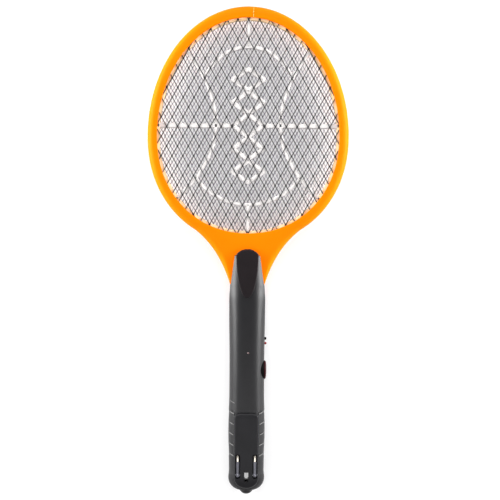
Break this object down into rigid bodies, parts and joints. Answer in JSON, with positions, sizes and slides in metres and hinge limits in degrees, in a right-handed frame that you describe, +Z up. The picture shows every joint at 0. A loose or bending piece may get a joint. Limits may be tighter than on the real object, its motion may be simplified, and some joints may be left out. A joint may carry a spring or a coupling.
{
  "type": "electric fly swatter",
  "caption": "Racket-shaped electric fly swatter with an egg-shaped meshed head, a round handle with side controls, and mains pins that fold out for charging.",
  "frame": {"origin": "under the middle of the swatter's box, on the surface it lies on", "axes": "+Z up out of the front of the mesh, +Y along the swatter from the lanyard end to the tip of the head, +X towards the side with the push button"},
  "size_m": [0.219, 0.53, 0.0345],
  "materials": {
    "orange_abs": "smooth moulded, semi-gloss",
    "cream_abs": "satin moulded",
    "guard_wire": "dark expanded metal",
    "live_wire": "fine bright mesh",
    "steel": "zinc plated",
    "charcoal_abs": "fine textured, soft sheen",
    "black_abs": "satin black",
    "red_gloss": "dark red, glossy",
    "red_lens": "clear red lens",
    "nickel": "nickel plated",
    "grey_sleeve": "satin grey",
    "brass": "sprung strip",
    "board_green": "solder mask",
    "ferrite": "ground ferrite",
    "copper": "enamelled wire",
    "amber_epoxy": "dipped epoxy",
    "resistor_body": "lacquered",
    "battery_case": "shrink wrap",
    "lead_red": "insulated lead",
    "lead_black": "insulated lead"
  },
  "bodies": {
    "swatter": {"head_frame_front": "orange_abs", "head_frame_back": "orange_abs", "front_spacer": "cream_abs", "back_spacer": "cream_abs", "front_mesh": "guard_wire", "back_mesh": "guard_wire", "centre_mesh": "live_wire", "head_screws": "steel", "handle_front_shell": "charcoal_abs", "handle_back_shell": "charcoal_abs", "neck_cover": "black_abs", "plug_plate": "black_abs", "handle_screws": "steel", "button_spring": "steel", "trigger_switch": "black_abs", "slide_switch_body": "steel", "side_lamp": "red_lens", "front_lamp": "red_lens", "nose_lamp": "red_lens", "pin_axles": "steel", "pin_contacts": "brass", "circuit_board": "board_green", "transformer_core": "ferrite", "transformer_winding": "copper", "storage_capacitor": "red_gloss", "dropper_capacitor": "amber_epoxy", "resistors": "resistor_body", "diodes": "black_abs", "transistor": "black_abs", "board_screws": "steel", "battery": "battery_case", "battery_leads": "lead_red", "mains_leads": "lead_black", "mesh_leads": "lead_red"},
    "button": {"push_button": "black_abs", "button_cap": "red_gloss", "trigger_plunger": "red_gloss"},
    "switch": {"slide_switch_knob": "black_abs"},
    "left_plug_pin": {"left_pin": "nickel", "left_pin_sleeve": "grey_sleeve"},
    "right_plug_pin": {"right_pin": "nickel", "right_pin_sleeve": "grey_sleeve"}
  },
  "joints": [
    {"name": "button_press", "type": "slide", "parent": "swatter", "child": "button", "axis": [-1, 0, 0], "range_m": [0, 0.002], "stiffness_N_per_m": 400, "deforming": ["button_spring"]},
    {"name": "switch_slide", "type": "slide", "parent": "swatter", "child": "switch", "axis": [0, 1, 0], "range_m": [0, 0.003]},
    {"name": "left_pin_fold", "type": "hinge", "parent": "swatter", "child": "left_plug_pin", "pos_m": [-0.0093, -0.2429, 0.0315], "axis": [1, 0, 0], "range_deg": [0, 90]},
    {"name": "right_pin_fold", "type": "hinge", "parent": "swatter", "child": "right_plug_pin", "pos_m": [0.0093, -0.2429, 0.0315], "axis": [1, 0, 0], "range_deg": [0, 90]}
  ]
}
